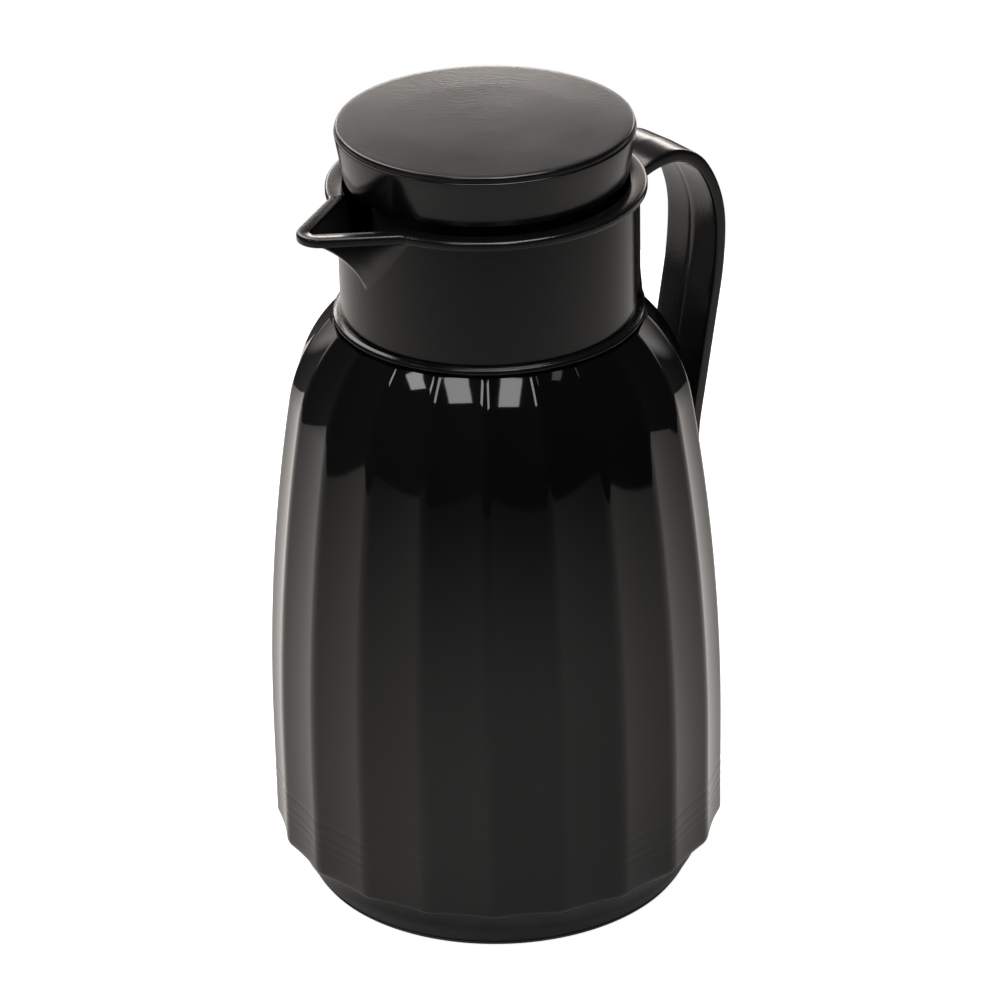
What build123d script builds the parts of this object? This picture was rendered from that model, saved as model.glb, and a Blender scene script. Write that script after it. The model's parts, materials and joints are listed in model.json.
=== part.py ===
from build123d import *
import math
import os

# Thermal carafe with a flip lid, in millimetres.
# Origin: the middle of the standing face, on the jug's axis. +Z is up,
# the handle points to +X and the pouring spout to -X.

os.makedirs("parts", exist_ok=True)

# ---------------------------------------------------------------- dimensions
# Outer shell: a fluted barrel on a rounded shoulder
flute_count = 21
flute_hollow = 0.7  # how far a flute is dished below its chord at the belly
ridge_round = 6.0
belly_radius = 78.2  # over the ridges
belly_height = 55.0  # the barrel is straight below this height
shoulder_height = 178.0  # where the shoulder curve starts
shoulder_radius = 56.0
shoulder_rise = 29.2  # up to the shell's flat top, under the neck ring
shoulder_overhang = 1.18  # from the neck ring's edge out to the ridges at the shell's top
steepest_bow = 25.0  # degrees that the long barrel curve may turn
shell_bottom = 17.0
shell_lip_round = 2.2
shell_wall = 2.4
neck_wall = 2.8
neck_clearance = 0.7  # from the neck's rim up to the collar's funnel

# Screwed base
base_joint_wall = 5.5  # from the ridges in to the bore of the shell's thread
base_joint_depth = 26.0
base_setback = 4.6  # from the ridges in to the base's upper edge
base_taper = 6.9  # the base draws in by this much down to its rounded standing edge
base_foot_round = 2.4
base_stand_width = 6.5
base_recess = 3.0
base_wall = 2.6
thread_clearance = 0.15

# Vacuum liner
glass_wall = 1.6
liner_radius = 58.0
liner_bottom = 19.0  # lowest point of the outer glass bowl
liner_bowl_depth = 34.0
liner_shoulder_rise = 33.0
liner_neck_length = 20.0
liner_mouth_radius = 25.0
liner_rise = 3.8  # the liner's rim above the shell's flat top
liner_gap = 4.0  # vacuum space at the wall
liner_neck_gap = 1.8  # vacuum space in the neck
tip_radius = 3.5  # seal-off tip under the bowl
tip_length = 5.0
pad_height = 12.0
pad_arc = 13.0  # degrees
pad_count = 3
pad_rise = 13.0  # middle of the pads above the bowl

# Rubber parts
rubber_clearance = 0.2
cushion_radius = 38.0
cushion_bore = 9.0
mouth_seal_thickness = 2.0
mouth_seal_width = 6.0
centring_ring_height = 5.0

# Collar with flange and spout
collar_radius = 49.4
collar_wall = 2.0
collar_height = 44.8
flange_overhang = 3.6
flange_thickness = 3.0
flange_round = 1.2
funnel_rise = 11.3
funnel_wall = 2.0
rim_round = 1.1  # upper edge of the flange and of the spout's rim
rim_under_round = 0.5
spout_length = 21.4  # from the flange's edge to the spout's tip
spout_tip_round = 7.8
spout_half_angle = 32.5  # of the rim's wedge, seen from above
spout_root_round = 5.0  # between the spout's rim and the flange
spout_lip = 2.0  # how far the rim's tip stands out over the keel
spout_wall = 1.9
spout_depth = 25.3  # from the flange's top to the foot of the keel
keel_radius = 48.0  # the keel is one hollow arc
keel_round = 4.0  # across the keel, under the rim
keel_foot_round = 1.2
keel_half_angle = 33.0  # of the faces' wedge under the rim
keel_foot_half_angle = 66.0
keel_foot_sink = 0.4  # the lowest slice starts inside the collar's wall
spout_blend = 3.0  # between the spout's faces and the collar's wall

# Neck ring
ring_height = 3.1
ring_overhang = 2.7  # past the collar's wall
ring_groove = 1.2
ring_groove_height = 0.7

# Handle
strap_width = 27.0
strap_thickness = 4.3
strap_crease = 0.7
strap_edge_round = 1.0
handle_standoff = 4.27  # from the ridges to the strap's middle, at the foot
handle_drop = 6.3  # from the flange's top down to the strap's highest point
handle_overhang = 18.1  # from the collar's wall out to the strap's highest point
handle_root_bend = 30.0
handle_root_angle = 22.0
handle_crown_bend = 17.6
handle_crown_angle = 55.0
handle_side_bend = 42.2
handle_back_bend = 120.0
handle_run = 46.0  # straight length of the strap, which leans in to the jug going down
steepest_lean = 35.0  # degrees that the strap may lean in
handle_foot_bend = 60.0
handle_foot_splay = 4.8  # degrees, the foot turns out again to lie along the barrel
handle_foot_run = 15.0
foot_pad_depth = 6.0
saddle_angle = 34.0  # each side of the handle
saddle_thickness = 1.3
saddle_top_gap = 1.7  # under the flange
saddle_foot_height = 1.2
handle_screw_spacing = 9.0
handle_screw_radius = 1.5
handle_screw_length = 7.0
handle_screw_head_radius = 3.0
handle_screw_head_height = 1.8

# Hinge of the flip lid
hinge_inset = 2.5  # from the flange's edge in to the pin
hinge_clearance = 0.4  # under the knuckle
knuckle_radius = 3.0
knuckle_width = 10.0
ear_gap = 0.3
ear_width = 3.7
pin_radius = 1.25
pin_clearance = 0.05
lid_opening = 100.0  # degrees, where the heel meets the flange
heel_clearance = 0.15
heel_lead = 0.8
heel_trail = 3.0

# Lid
lid_gap = 2.9  # between the flange and the lid
lid_setback = 3.4  # from the flange's edge in to the lid's rim
lid_taper = 2.7  # the skirt is narrower by this much at its foot
lid_height = 15.9
lid_wall = 2.0
lid_deck = 2.2
lid_disc_ledge = 0.6
lid_disc_band = 2.0
lid_disc_crown = 0.4
lid_disc_round = 0.8
lid_spigot_depth = 3.0
lid_spigot_clearance = 0.1
foam_clearance = 0.3

# Stopper
plug_share = 0.5855  # of the space between the stopper's spigot and the collar's bore
plug_foot_share = 0.3632
plug_wall = 2.0
plug_straight = 20.0  # from the lid's underside down
plug_foot_lift = 2.6  # plug's shoulder above the funnel
plug_spigot_inset = 1.0  # inside the funnel's bore
plug_lip = 0.9
plug_lip_height = 1.1
spigot_lift = 0.5  # above the funnel's lip
plug_rim_width = 9.7
plug_rim_thickness = 3.0
seal_inset = 0.5
seal_nose_width = 2.8
seal_clearance = 0.4
plug_screw_count = 3
plug_screw_inset = 5.2  # from the stopper's wall in to its screws
plug_screw_radius = 1.5
plug_screw_length = 4.6
plug_screw_head_radius = 2.8
plug_screw_head_height = 1.8
foam_screw_room = 0.4

# ---------------------------------------------------------- worked-out values
flute_phase = 180 / flute_count  # puts a flute behind the handle
chord_ratio = math.cos(math.radians(flute_phase))
flute_depth = belly_radius * (1 - chord_ratio) + flute_hollow
skin = flute_depth + shell_wall  # from the ridges to the inside of the shell
deck_height = shoulder_height + shoulder_rise
joint_top = shell_bottom + base_joint_depth
base_joint_radius = belly_radius - base_joint_wall
base_top_radius = belly_radius - base_setback
base_foot_radius = base_top_radius - base_taper
liner_top = deck_height + liner_rise
liner_neck_radius = liner_mouth_radius + 2 * glass_wall + liner_neck_gap
shoulder_top = liner_top - liner_neck_length
liner_shoulder_height = shoulder_top - liner_shoulder_rise
collar_bottom = deck_height + ring_height
collar_bore = collar_radius - collar_wall
neck_outer = collar_bore - thread_clearance
neck_inner = neck_outer - neck_wall
ring_radius = collar_radius + ring_overhang
seat_height = liner_top + mouth_seal_thickness
seat_radius = liner_mouth_radius + mouth_seal_width + 1
funnel_bore = liner_mouth_radius
funnel_lip = seat_height + funnel_wall
funnel_slope = funnel_rise / (collar_bore - funnel_bore)
funnel_foot = funnel_lip + funnel_rise - funnel_wall - 0.5
neck_top = (
    seat_height
    + (funnel_foot - seat_height) * (neck_inner - seat_radius) / (collar_bore - seat_radius)
    - neck_clearance
)
flange_radius = collar_radius + flange_overhang
flange_top = collar_bottom + collar_height
flange_under = flange_top - flange_thickness
hinge_reach = flange_radius - hinge_inset
hinge_lift = knuckle_radius + hinge_clearance
hinge_height = flange_top + hinge_lift
lid_bottom = flange_top + lid_gap
lid_rim_radius = flange_radius - lid_setback
lid_bottom_radius = lid_rim_radius - lid_taper
lid_rim_height = lid_bottom + lid_height
plug_spigot_radius = funnel_bore - plug_spigot_inset
plug_radius = plug_spigot_radius + plug_share * (collar_bore - plug_spigot_radius)
plug_foot_radius = plug_spigot_radius + plug_foot_share * (collar_bore - plug_spigot_radius)
plug_screw_circle = plug_radius - plug_screw_inset
seal_radius = plug_foot_radius - seal_inset
spout_reach = flange_radius + spout_length
keel_foot = flange_top - spout_depth
saddle_radius = collar_radius + saddle_thickness
splay = math.radians(handle_foot_splay)
crown_turn = math.radians(handle_crown_angle)
handle_crown_height = flange_top - handle_drop
handle_crown_reach = collar_radius + handle_overhang


def halved(low, high, too_low):
    """The value between low and high where too_low turns false, found by halving."""
    for _ in range(50):
        middle = (low + high) / 2
        if too_low(middle):
            low = middle
        else:
            high = middle
    return middle


def shell_drop(bow):
    """How far the ridges draw in from the belly to the shell's top, for the barrel's whole turn."""
    barrel_drop = (shoulder_height - belly_height) * math.tan(bow / 2)
    turn = math.asin(math.sin(bow) + shoulder_rise / shoulder_radius)
    return barrel_drop + shoulder_radius * (math.cos(bow) - math.cos(turn))


# The barrel's curve is as round as it takes to bring the ridges in to the neck ring.
top_drop = belly_radius - ring_radius - shoulder_overhang
barrel_bow = halved(0.001, math.radians(steepest_bow), lambda bow: shell_drop(bow) < top_drop)
barrel_radius = (shoulder_height - belly_height) / math.sin(barrel_bow)


def ridge_radius(height):
    """Radius over the ridges: a straight skirt, a long barrel arc and a shoulder arc."""
    if height <= belly_height:
        return belly_radius
    barrel_end = min(height, shoulder_height)
    bow = math.asin((barrel_end - belly_height) / barrel_radius)
    radius = belly_radius - barrel_radius * (1 - math.cos(bow))
    if height <= shoulder_height:
        return radius
    turn = math.asin(math.sin(bow) + (height - shoulder_height) / shoulder_radius)
    return radius - shoulder_radius * (math.cos(bow) - math.cos(turn))


def strap_foot(lean):
    """Reach and height of the middle of the strap's foot, when the strap leans in this far."""
    reach = (
        handle_crown_reach
        + handle_crown_bend * math.sin(crown_turn)
        + handle_side_bend * (1 - math.sin(crown_turn))
        - handle_back_bend * (1 - math.cos(lean))
        - handle_run * math.sin(lean)
        - handle_foot_bend * (math.cos(splay) - math.cos(lean))
        + handle_foot_run * math.sin(splay) / 2
    )
    height = (
        handle_crown_height
        - handle_crown_bend * (1 - math.cos(crown_turn))
        - handle_side_bend * math.cos(crown_turn)
        - handle_back_bend * math.sin(lean)
        - handle_run * math.cos(lean)
        - handle_foot_bend * (math.sin(lean) + math.sin(splay))
        - handle_foot_run * math.cos(splay) / 2
    )
    return reach, height


def foot_stands_off(lean):
    """True while the strap's foot is still further out than its place on the barrel."""
    reach, height = strap_foot(lean)
    return reach > ridge_radius(height) + handle_standoff


# The strap leans in until its foot stands on the barrel.
lean = halved(0.0, math.radians(steepest_lean), foot_stands_off)
foot_middle = strap_foot(lean)[1]
handle_screw_levels = (foot_middle - handle_screw_spacing / 2, foot_middle + handle_screw_spacing / 2)


def fluted_section(radius):
    """Face with one dished arc per flute, its ridges rounded, at the given ridge radius."""
    size = radius / belly_radius
    trough = (belly_radius - flute_depth) * size
    with BuildLine() as outline:
        for flute in range(flute_count):
            start = flute_phase + flute * 360 / flute_count
            ThreePointArc(
                (radius * math.cos(math.radians(start)), radius * math.sin(math.radians(start))),
                (
                    trough * math.cos(math.radians(start + 180 / flute_count)),
                    trough * math.sin(math.radians(start + 180 / flute_count)),
                ),
                (
                    radius * math.cos(math.radians(start + 360 / flute_count)),
                    radius * math.sin(math.radians(start + 360 / flute_count)),
                ),
            )
    make_face(outline.edges())
    fillet(vertices(), ridge_round * size)


def funnel_height(radius):
    """Height of the collar's funnel floor at a radius."""
    return funnel_lip + (radius - funnel_bore) * funnel_slope


def upright_plane(angle):
    """The XZ plane turned about the jug's axis."""
    turn = math.radians(angle)
    return Plane(
        origin=(0, 0, 0),
        x_dir=(math.cos(turn), math.sin(turn), 0),
        z_dir=(math.sin(turn), -math.cos(turn), 0),
    )


screw_seat = ridge_radius(handle_screw_levels[0]) - skin + 0.2
on_face = (Align.CENTER, Align.CENTER, Align.MIN)
under_face = (Align.CENTER, Align.CENTER, Align.MAX)

# ---------------------------------------------------------------- outer shell
# The barrel is lofted through fluted sections, its lower lip is a short ruled loft.
barrel_start = shell_bottom + shell_lip_round
barrel_steps = 8
shoulder_steps = 3
barrel_stations = [
    barrel_start + step * (shoulder_height - barrel_start) / barrel_steps for step in range(barrel_steps)
] + [
    shoulder_height + step * (deck_height - shoulder_height) / shoulder_steps
    for step in range(shoulder_steps + 1)
]
with BuildPart() as outer_shell:
    for station in barrel_stations:
        with BuildSketch(Plane.XY.offset(station)):
            fluted_section(ridge_radius(station))
    loft()
    with BuildSketch(Plane.XY.offset(shell_bottom)):
        fluted_section(belly_radius - shell_lip_round)
    with BuildSketch(Plane.XY.offset(shell_bottom + 0.3 * shell_lip_round)):
        fluted_section(belly_radius - 0.3 * shell_lip_round)
    with BuildSketch(Plane.XY.offset(barrel_start)):
        fluted_section(belly_radius)
    loft(ruled=True)
    with BuildSketch(Plane.XY.offset(deck_height)):
        Circle(neck_outer)
    extrude(amount=neck_top - deck_height)
    with BuildSketch(Plane.XZ):
        with BuildLine():
            inner_heights = [joint_top + 3] + barrel_stations[2:-1]
            inner_wall = [(ridge_radius(height) - skin, height) for height in inner_heights]
            inner_wall.append((ridge_radius(deck_height) - skin, deck_height - 1.6 * shell_wall))
            Polyline(
                (0, shell_bottom),
                (base_joint_radius, shell_bottom),
                (base_joint_radius, joint_top),
                inner_wall[0],
            )
            Spline(*inner_wall)
            Polyline(
                inner_wall[-1],
                (neck_inner, deck_height - shell_wall),
                (neck_inner, neck_top),
                (0, neck_top),
                (0, shell_bottom),
            )
        make_face()
    revolve(axis=Axis.Z, mode=Mode.SUBTRACT)
    # flat seats and clearance holes for the handle's screws
    for level in handle_screw_levels:
        with Locations(Plane(origin=(screw_seat, 0, level), z_dir=(1, 0, 0))):
            Cylinder(handle_screw_head_radius + 0.3, 6, align=under_face, mode=Mode.SUBTRACT)
            Cylinder(handle_screw_radius + thread_clearance, 20, mode=Mode.SUBTRACT)

# ---------------------------------------------------------------- screwed base
# A shallow dish that curves in to its standing ring, with a threaded spigot above.
base_floor = base_recess + base_wall
spigot_radius = base_joint_radius - thread_clearance
with BuildPart() as base_cap:
    with BuildSketch(Plane.XZ):
        with BuildLine():
            stand_radius = base_foot_radius - base_foot_round
            bowed = ((base_top_radius + base_foot_radius) / 2 + 1.1, shell_bottom / 2)
            Line((0, base_recess), (stand_radius - base_stand_width, base_recess))
            Line((stand_radius - base_stand_width, base_recess), (stand_radius - base_stand_width, 0))
            Line((stand_radius - base_stand_width, 0), (stand_radius, 0))
            Spline(
                (stand_radius, 0),
                (base_foot_radius, base_foot_round * 0.7),
                bowed,
                (base_top_radius, shell_bottom),
                tangents=((1, 0), (0, 1)),
            )
            Polyline(
                (base_top_radius, shell_bottom),
                (spigot_radius, shell_bottom),
                (spigot_radius, joint_top - 2),
                (spigot_radius - base_wall, joint_top - 2),
                (spigot_radius - base_wall, shell_bottom),
                (stand_radius - base_wall, base_floor + 1),
                (stand_radius - base_wall - 3, base_floor),
                (0, base_floor),
                (0, base_recess),
            )
        make_face()
    revolve(axis=Axis.Z)

# ---------------------------------------------------------------- vacuum liner
# Outer glass: half-ellipse bowl, straight wall, drawn-in shoulder, neck and seal-off tip.
bowl_top = liner_bottom + liner_bowl_depth
lip_height = liner_top - glass_wall


def vessel_half(radius, bowl_depth, bowl_rim, neck, neck_rise, top):
    """Half section of a glass vessel, closed on the axis."""
    bottom = bowl_rim - bowl_depth
    half_neck = (radius + neck) / 2
    with BuildLine() as outline:
        EllipticalCenterArc((0, bowl_rim), radius, bowl_depth, start_angle=270, arc_size=90)
        Line((radius, bowl_rim), (radius, liner_shoulder_height))
        Spline(
            (radius, liner_shoulder_height),
            (half_neck + 2, liner_shoulder_height + neck_rise * 0.62),
            (neck, liner_shoulder_height + neck_rise),
            tangents=((0, 1), (0, 1)),
        )
        Polyline((neck, liner_shoulder_height + neck_rise), (neck, top), (0, top), (0, bottom))
    make_face(outline.edges())


with BuildPart() as liner_outer_glass:
    with BuildSketch(Plane.XZ):
        vessel_half(
            liner_radius, liner_bowl_depth, bowl_top, liner_neck_radius, liner_shoulder_rise, lip_height
        )
    revolve(axis=Axis.Z)
    with BuildSketch(Plane.XY.offset(liner_bottom + 1)):
        Circle(tip_radius)
    extrude(amount=-tip_length - 1, taper=12)
    with BuildSketch(Plane.XZ):
        vessel_half(
            liner_radius - glass_wall,
            liner_bowl_depth - glass_wall,
            bowl_top,
            liner_neck_radius - glass_wall,
            liner_shoulder_rise,
            lip_height,
        )
    revolve(axis=Axis.Z, mode=Mode.SUBTRACT)

# Inner glass: the same forms inside the vacuum gap, its rim folded over to the outer neck.
inner_outside = liner_radius - glass_wall - liner_gap
inner_neck = liner_mouth_radius + glass_wall
with BuildPart() as liner_inner_glass:
    with BuildSketch(Plane.XZ):
        vessel_half(
            inner_outside,
            liner_bowl_depth - glass_wall - liner_gap,
            bowl_top,
            inner_neck,
            liner_shoulder_rise - liner_gap,
            liner_top,
        )
    revolve(axis=Axis.Z)
    with BuildSketch(Plane.XY.offset(lip_height)):
        Circle(liner_neck_radius)
    extrude(amount=glass_wall)
    with BuildSketch(Plane.XZ):
        vessel_half(
            inner_outside - glass_wall,
            liner_bowl_depth - 2 * glass_wall - liner_gap,
            bowl_top,
            liner_mouth_radius,
            liner_shoulder_rise - liner_gap,
            liner_top,
        )
    revolve(axis=Axis.Z, mode=Mode.SUBTRACT)

# Pads that keep the two glass walls apart
with BuildPart() as liner_pads:
    for pad in range(pad_count):
        with BuildSketch(upright_plane(pad * 360 / pad_count)):
            with Locations((inner_outside + liner_gap / 2, bowl_top + pad_rise)):
                Rectangle(liner_gap, pad_height)
        revolve(axis=Axis.Z, revolution_arc=pad_arc)

# ---------------------------------------------------------------- rubber parts
# Cushion on the base's floor that carries the liner's bowl
with BuildPart() as liner_cushion:
    with BuildSketch(Plane.XY.offset(base_floor)):
        Circle(cushion_radius)
        Circle(cushion_bore, mode=Mode.SUBTRACT)
    extrude(amount=bowl_top - base_floor - liner_bowl_depth / 2)
    with BuildSketch(Plane.XZ):
        with BuildLine():
            EllipticalCenterArc(
                (0, bowl_top),
                liner_radius + rubber_clearance,
                liner_bowl_depth + rubber_clearance,
                start_angle=270,
                arc_size=90,
            )
            Polyline(
                (liner_radius + rubber_clearance, bowl_top),
                (0, bowl_top),
                (0, liner_bottom - rubber_clearance),
            )
        make_face()
    revolve(axis=Axis.Z, mode=Mode.SUBTRACT)

# Ring that centres the liner's neck in the shell's neck
with BuildPart() as centring_ring:
    with BuildSketch(Plane.XY.offset(deck_height)):
        Circle(neck_inner - rubber_clearance)
        Circle(liner_neck_radius + rubber_clearance, mode=Mode.SUBTRACT)
    extrude(amount=-centring_ring_height / 2, both=True)

# Flat seal between the liner's lip and the collar's funnel
with BuildPart() as mouth_seal:
    with BuildSketch(Plane.XY.offset(liner_top)):
        Circle(liner_mouth_radius + mouth_seal_width)
        Circle(liner_mouth_radius, mode=Mode.SUBTRACT)
    extrude(amount=mouth_seal_thickness)

# ---------------------------------------------------------------- spout collar
def beak_plan(reach, half_angle, nose, inset=0.0):
    """Outline of the spout from above: a wedge tangent to a round nose, carried in to the bore."""
    half_apex = math.radians(half_angle)
    apex = reach + nose * (1 / math.sin(half_apex) - 1) - inset / math.sin(half_apex)
    base = collar_bore - 4
    base_width = (apex - base) * math.tan(half_apex)
    with BuildLine() as outline:
        Polyline((0, base_width), (-base, base_width), (-apex, 0), (-base, -base_width), (0, -base_width))
        Line((0, -base_width), (0, base_width))
    make_face(outline.edges())
    fillet(vertices().sort_by(Axis.X)[0], max(nose - inset, spout_wall / 4))


def keel_reach(height):
    """Reach of the keel at a height: an arc that is hollow from outside."""
    foot = Vector(collar_radius, keel_foot)
    top = Vector(spout_reach - spout_lip, flange_under)
    chord = top - foot
    to_centre = math.sqrt(keel_radius**2 - (chord.length / 2) ** 2) / chord.length
    centre = (foot + top) / 2 + Vector(chord.Y, -chord.X) * to_centre
    return centre.X - math.sqrt(keel_radius**2 - (height - centre.Y) ** 2)


def beak_station(level):
    """Height, reach, half angle and nose of one slice; level runs from 0 at the foot to 1."""
    height = keel_foot + (flange_under - keel_foot) * level
    sunk = keel_foot_sink if level == 0 else 0.0
    half_angle = keel_foot_half_angle + (keel_half_angle - keel_foot_half_angle) * level
    nose = keel_foot_round + (keel_round - keel_foot_round) * level
    return height, keel_reach(height) - sunk, half_angle, nose


beak_steps = 6
with BuildPart() as spout_collar:
    # flange and the spout's rim as one rounded plate
    with BuildSketch(Plane.XY.offset(flange_under)):
        Circle(flange_radius)
        beak_plan(spout_reach, spout_half_angle, spout_tip_round)
        fillet(
            vertices().filter_by(lambda corner: abs(math.hypot(corner.X, corner.Y) - flange_radius) < 0.01),
            spout_root_round,
        )
    extrude(amount=flange_thickness)
    fillet(edges().group_by(Axis.Z)[-1], rim_round)
    fillet(edges().group_by(Axis.Z)[0], rim_under_round)
    # wall and funnel floor as one turned form
    with BuildSketch(Plane.XZ):
        with BuildLine():
            Polyline(
                (funnel_bore, seat_height),
                (seat_radius, seat_height),
                (collar_bore, funnel_foot),
                (collar_bore, collar_bottom),
                (collar_radius, collar_bottom),
                (collar_radius, flange_under - flange_round),
                (collar_radius + flange_round, flange_under),
                (collar_radius + flange_round, flange_under + 1),
                (collar_bore, flange_under + 1),
                (collar_bore, funnel_height(collar_bore)),
                (funnel_bore, funnel_lip),
                close=True,
            )
        make_face()
    revolve(axis=Axis.Z)
    # the spout's faces and keel below the rim
    for step in range(beak_steps + 1):
        height, reach, half_angle, nose = beak_station(step / beak_steps)
        with BuildSketch(Plane.XY.offset(height)):
            beak_plan(reach, half_angle, nose)
    loft()
    seam = (
        edges()
        .filter_by(GeomType.BSPLINE)
        .filter_by_position(Axis.Z, keel_foot - 1, flange_under - 0.5)
        .filter_by(lambda edge: abs(math.hypot(edge.center().X, edge.center().Y) - collar_radius) < 0.05)
    )
    fillet(seam, spout_blend)
    # clear the bore, then open the channel into the spout
    with BuildSketch(Plane.XY.offset(funnel_height(collar_bore))):
        Circle(collar_bore)
    extrude(amount=spout_reach, mode=Mode.SUBTRACT)
    for step in range(beak_steps + 1):
        height, reach, half_angle, nose = beak_station(step / beak_steps)
        with BuildSketch(Plane.XY.offset(height + spout_wall)):
            beak_plan(reach, half_angle, nose, inset=spout_wall)
    loft(mode=Mode.SUBTRACT)
    with BuildSketch(Plane.XY.offset(flange_under + spout_wall)):
        beak_plan(reach, half_angle, nose, inset=spout_wall)
    extrude(amount=flange_thickness, mode=Mode.SUBTRACT)
    # hinge ears on the flange, opposite the spout
    with BuildSketch(Plane.XZ.offset(knuckle_width / 2 + ear_gap)) as ear_section:
        with Locations((hinge_reach, hinge_height)):
            Circle(knuckle_radius)
        with BuildLine():
            Polyline(
                (hinge_reach - knuckle_radius, hinge_height),
                (hinge_reach - knuckle_radius + 0.2, flange_under + 1),
                (hinge_reach + knuckle_radius - 1.6, flange_under + 1),
                (hinge_reach + knuckle_radius, hinge_height),
                close=True,
            )
        make_face()
        with Locations((hinge_reach, hinge_height)):
            Circle(pin_radius, mode=Mode.SUBTRACT)
    ear = extrude(amount=ear_width)
    mirror(ear, about=Plane.XZ)

# ---------------------------------------------------------------- neck ring
with BuildPart() as neck_ring:
    with BuildSketch(Plane.XZ):
        with BuildLine():
            bead_foot = deck_height + ring_groove_height
            Polyline(
                (neck_outer + thread_clearance, deck_height),
                (ring_radius - ring_groove, deck_height),
                (ring_radius - ring_groove, bead_foot),
                (ring_radius - 0.5, bead_foot),
                (ring_radius, bead_foot + 0.5),
            )
            Spline(
                (ring_radius, bead_foot + 0.5),
                (collar_radius, collar_bottom),
                tangents=((0, 1), (-1, 0.15)),
            )
            Polyline(
                (collar_radius, collar_bottom),
                (neck_outer + thread_clearance, collar_bottom),
                (neck_outer + thread_clearance, deck_height),
            )
        make_face()
    revolve(axis=Axis.Z)

# ---------------------------------------------------------------- handle
saddle_top = flange_under - saddle_top_gap


with BuildPart() as handle:
    # the strap follows one chain of tangent lines and arcs from the collar to its foot
    root_turn = math.radians(handle_root_angle)
    bend_start = (
        handle_crown_reach - handle_root_bend * math.sin(root_turn),
        handle_crown_height - handle_root_bend * (1 - math.cos(root_turn)),
    )
    root_reach = saddle_radius - 0.8
    root_point = (
        root_reach,
        bend_start[1] - (bend_start[0] - root_reach) * math.tan(root_turn),
    )
    with BuildLine(Plane.XZ) as strap_path:
        root_line = Line(root_point, bend_start)
        root_arc = JernArc(root_line @ 1, root_line % 1, handle_root_bend, -handle_root_angle)
        crown_arc = JernArc(root_arc @ 1, root_arc % 1, handle_crown_bend, -handle_crown_angle)
        side_arc = JernArc(crown_arc @ 1, crown_arc % 1, handle_side_bend, handle_crown_angle - 90)
        back_arc = JernArc(side_arc @ 1, side_arc % 1, handle_back_bend, -math.degrees(lean))
        grip_line = Line(back_arc @ 1, back_arc @ 1 + (back_arc % 1) * handle_run)
        foot_arc = JernArc(grip_line @ 1, grip_line % 1, handle_foot_bend, math.degrees(lean + splay))
        foot_line = Line(foot_arc @ 1, foot_arc @ 1 + (foot_arc % 1) * handle_foot_run)
    with BuildSketch(Plane(origin=root_line @ 0, x_dir=(0, 1, 0), z_dir=root_line % 0)) as strap_section:
        with BuildLine():
            Polyline(
                (-strap_width / 2, -strap_thickness / 2),
                (strap_width / 2, -strap_thickness / 2),
                (strap_width / 2, strap_thickness / 2),
                (0, strap_thickness / 2 + strap_crease),
                (-strap_width / 2, strap_thickness / 2),
                close=True,
            )
        make_face()
        fillet(vertices().filter_by(lambda corner: abs(corner.X) > 1), strap_edge_round)
    sweep()
    # a pad behind the foot fills the space down to the shell
    foot_start = foot_arc @ 0.75
    foot_end = foot_line @ 1
    with BuildSketch(Plane.XZ):
        with BuildLine():
            Polyline(
                (foot_start.X, foot_start.Z),
                (foot_end.X, foot_end.Z),
                (foot_end.X - foot_pad_depth, foot_end.Z),
                (foot_start.X - foot_pad_depth, foot_start.Z - 1),
                close=True,
            )
        make_face()
    extrude(amount=strap_width / 2 - strap_edge_round, both=True)
    # and is cut flat across, to lie on the two ridges beside its flute
    barrel_levels = (belly_height, (belly_height + shoulder_height) / 2, shoulder_height)
    flute_chord = [(chord_ratio * ridge_radius(level), level) for level in barrel_levels]
    with BuildSketch(Plane.XZ):
        with BuildLine():
            Line((0, belly_height), flute_chord[0])
            Spline(*flute_chord)
            Polyline(flute_chord[2], (0, shoulder_height), (0, belly_height))
        make_face()
    extrude(amount=strap_width, both=True, mode=Mode.SUBTRACT)
    # saddle plate round the back of the collar, with a small foot on the neck ring
    with BuildSketch(upright_plane(-saddle_angle)):
        with BuildLine():
            Polyline(
                (collar_radius, collar_bottom),
                (saddle_radius + saddle_thickness, collar_bottom),
                (saddle_radius, collar_bottom + saddle_foot_height),
                (saddle_radius, saddle_top),
                (collar_radius, saddle_top),
                close=True,
            )
        make_face()
    revolve(axis=Axis.Z, revolution_arc=2 * saddle_angle)
    with BuildSketch(Plane.XY.offset(collar_bottom)):
        Circle(collar_radius)
    extrude(amount=flange_top - collar_bottom, mode=Mode.SUBTRACT)
    # pilot holes for the screws that come from inside the shell
    for level in handle_screw_levels:
        with Locations(Plane(origin=(screw_seat, 0, level), z_dir=(1, 0, 0))):
            Cylinder(handle_screw_radius, handle_screw_length, align=on_face, mode=Mode.SUBTRACT)

with BuildPart() as handle_screws:
    for level in handle_screw_levels:
        with Locations(Plane(origin=(screw_seat, 0, level), z_dir=(1, 0, 0))):
            Cylinder(handle_screw_head_radius, handle_screw_head_height, align=under_face)
            Cylinder(handle_screw_radius, handle_screw_length, align=on_face)

# ---------------------------------------------------------------- hinge pin
ear_outside = knuckle_width / 2 + ear_gap + ear_width
with BuildPart() as hinge_pin:
    with BuildSketch(Plane.XZ):
        with Locations((hinge_reach, hinge_height)):
            Circle(pin_radius)
    extrude(amount=ear_outside, both=True)

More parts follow.
